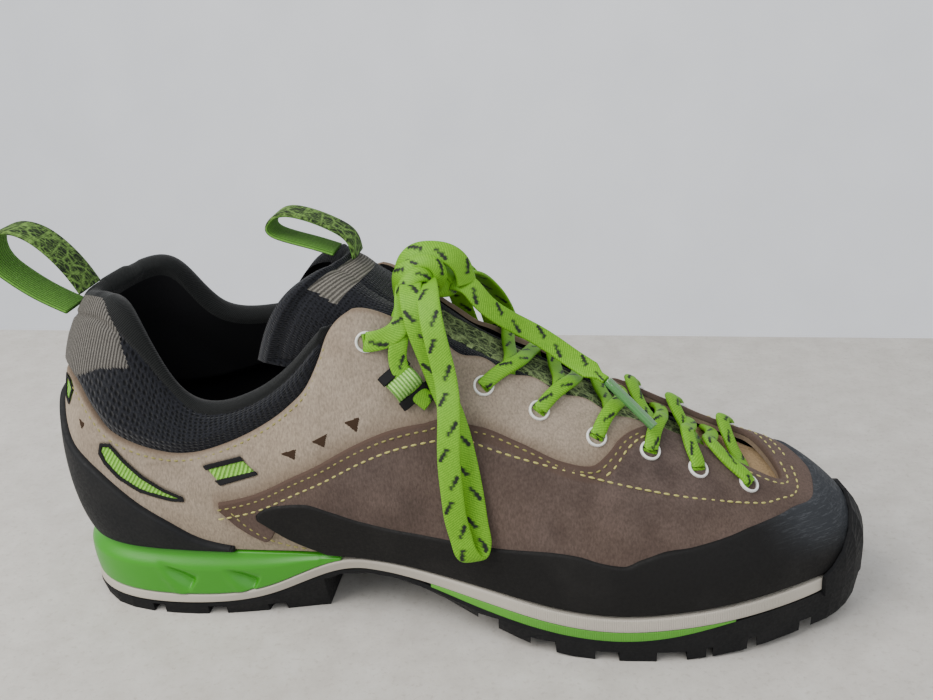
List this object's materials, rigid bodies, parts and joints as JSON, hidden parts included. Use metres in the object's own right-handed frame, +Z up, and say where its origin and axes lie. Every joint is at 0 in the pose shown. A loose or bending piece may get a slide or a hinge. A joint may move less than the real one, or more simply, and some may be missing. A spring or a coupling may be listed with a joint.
{
  "type": "approach shoe",
  "caption": "Low laced approach shoe for the left foot: suede upper, rubber rand and toe cap, padded collar, pull loops and lugged sole.",
  "frame": {"origin": "middle of the heel's tread, on the ground", "axes": "+X from heel to toe, +Y to the outer side of the left foot, +Z up"},
  "size_m": [0.3171, 0.1051, 0.1462],
  "materials": {
    "black_rubber": "matt moulded rubber",
    "green_foam": "satin moulded foam",
    "beige_foam": "matt moulded foam",
    "beige_suede": "suede",
    "brown_suede": "suede, worn at its edge",
    "black_mesh": "padded mesh",
    "green_webbing": "woven webbing",
    "green_lace": "woven flat lace with dark flecks",
    "clear_tip": "clear plastic tip",
    "white_enamel": "white enamelled eyelet"
  },
  "bodies": {
    "root": {"collar": "black_mesh", "eyelet_inner_1": "white_enamel", "eyelet_inner_2": "white_enamel", "eyelet_inner_3": "white_enamel", "eyelet_inner_4": "white_enamel", "eyelet_inner_5": "white_enamel", "eyelet_inner_6": "white_enamel", "eyelet_inner_7": "white_enamel", "eyelet_outer_1": "white_enamel", "eyelet_outer_2": "white_enamel", "eyelet_outer_3": "white_enamel", "eyelet_outer_4": "white_enamel", "eyelet_outer_5": "white_enamel", "eyelet_outer_6": "white_enamel", "eyelet_outer_7": "white_enamel", "forefoot_layer": "green_foam", "heel_counter": "black_rubber", "heel_loop": "green_webbing", "heel_wedge": "green_foam", "insole": "black_mesh", "lace_crossing_1": "green_lace", "lace_crossing_2": "green_lace", "lace_crossing_3": "green_lace", "lace_crossing_4": "green_lace", "lace_crossing_5": "green_lace", "lace_crossing_6": "green_lace", "lace_end_inner": "green_lace", "lace_end_outer": "green_lace", "lace_keeper_inner": "green_webbing", "lace_keeper_outer": "green_webbing", "lace_knot": "green_lace", "lace_loop_inner": "green_lace", "lace_loop_outer": "green_lace", "lace_tip_inner": "clear_tip", "lace_top_inner": "green_lace", "lace_top_outer": "green_lace", "midsole": "beige_foam", "outsole": "black_rubber", "rand": "black_rubber", "tongue": "black_mesh", "tongue_loop": "green_webbing", "upper": "beige_suede", "vamp_overlay": "brown_suede"}
  },
  "joints": []
}
